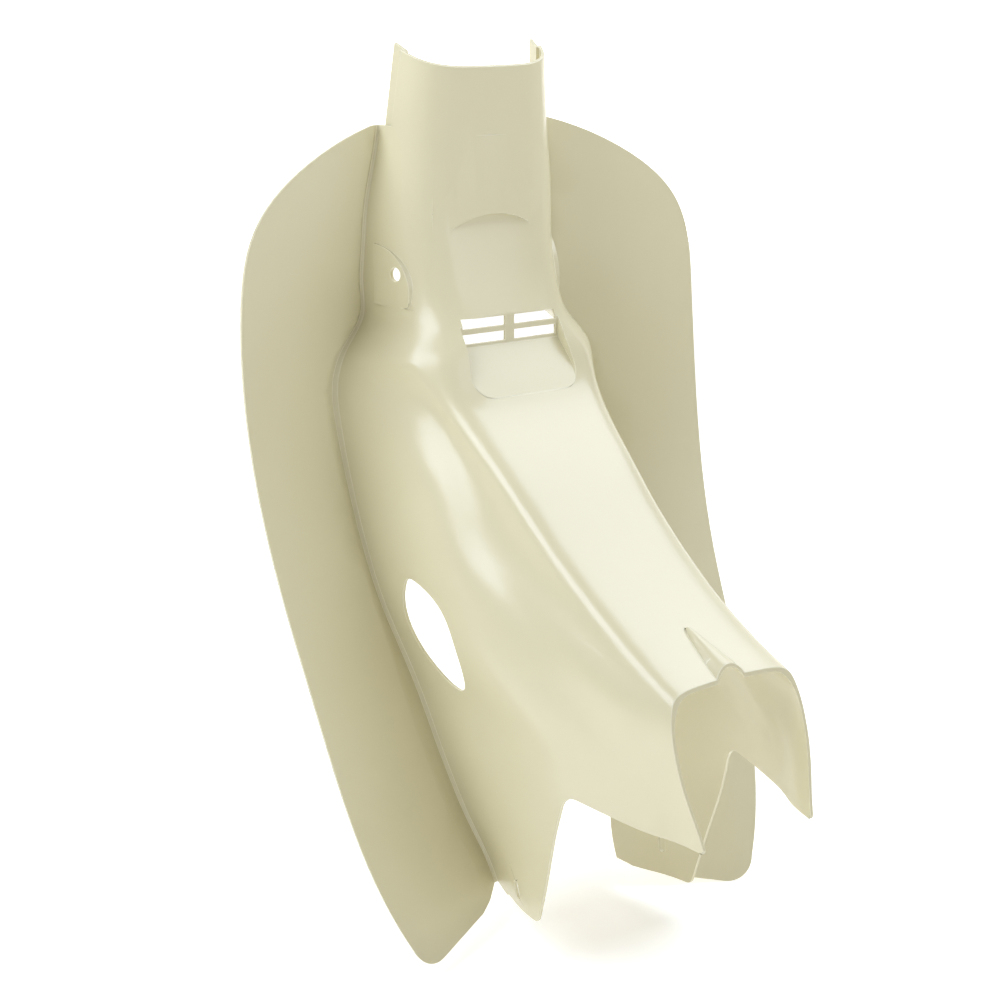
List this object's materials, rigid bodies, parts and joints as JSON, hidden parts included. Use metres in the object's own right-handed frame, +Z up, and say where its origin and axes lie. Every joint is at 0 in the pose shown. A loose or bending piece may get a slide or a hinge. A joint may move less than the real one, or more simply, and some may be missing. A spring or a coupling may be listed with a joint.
{
  "type": "scooter leg shield",
  "caption": "Thin moulded leg shield with two swept wings, a neck and a rear tunnel, bolted to a step-through scooter to keep wind and spray off the rider's legs.",
  "frame": {"origin": "on the line between the outer ends of the two upper bolt holes, in the middle plane between the two neck sides", "axes": "+X to the rider's right along the line between the upper bolt holes, +Y forward, +Z up"},
  "size_m": [0.4468, 0.425, 0.717],
  "materials": {
    "ivory_plastic": "smooth glossy moulding in one ivory colour"
  },
  "bodies": {
    "root": {"leg_shield": "ivory_plastic"}
  },
  "joints": []
}
